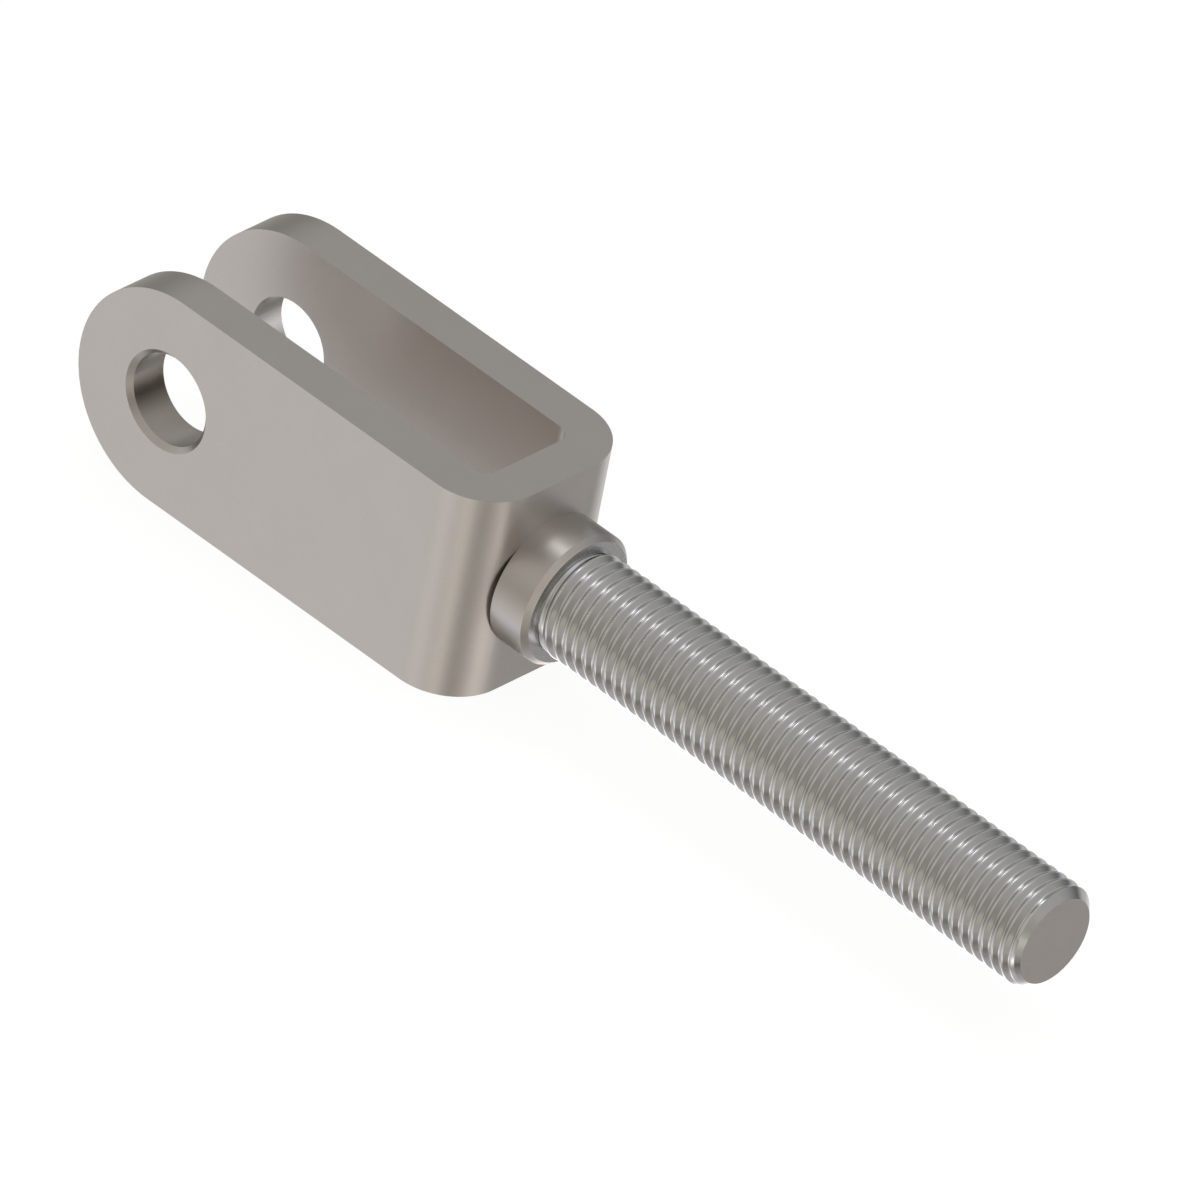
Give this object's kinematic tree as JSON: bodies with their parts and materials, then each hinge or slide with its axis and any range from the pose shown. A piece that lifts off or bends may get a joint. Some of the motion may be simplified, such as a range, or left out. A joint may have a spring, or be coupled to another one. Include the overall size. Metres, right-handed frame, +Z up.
{
  "type": "tension rod clevis",
  "caption": "Fork bent from flat bar with a cross pin hole in its rounded ears, and a threaded rod screwed into the collar on its back.",
  "frame": {"origin": "centre of the pin hole, on its axis and midway between the two ears", "axes": "+X along the threaded rod towards its free end, +Y along the pin from the front ear to the back ear, +Z up across the width of the bar"},
  "size_m": [0.3301, 0.0588, 0.0636],
  "materials": {
    "satin_steel": "satin warm grey plating with a fine even grain, no visible machining lines",
    "bright_thread": "bright plated thread with mirror-like rounded crests and a satin end face"
  },
  "bodies": {
    "clevis": {"fork": "satin_steel", "collar": "satin_steel"},
    "rod": {"threaded_rod": "bright_thread"}
  },
  "joints": [
    {"name": "rod_turn", "type": "hinge", "parent": "clevis", "child": "rod", "pos_m": [0.11112, 0, 0], "axis": [1, 0, 0], "range_deg": [-540, 540]}
  ]
}
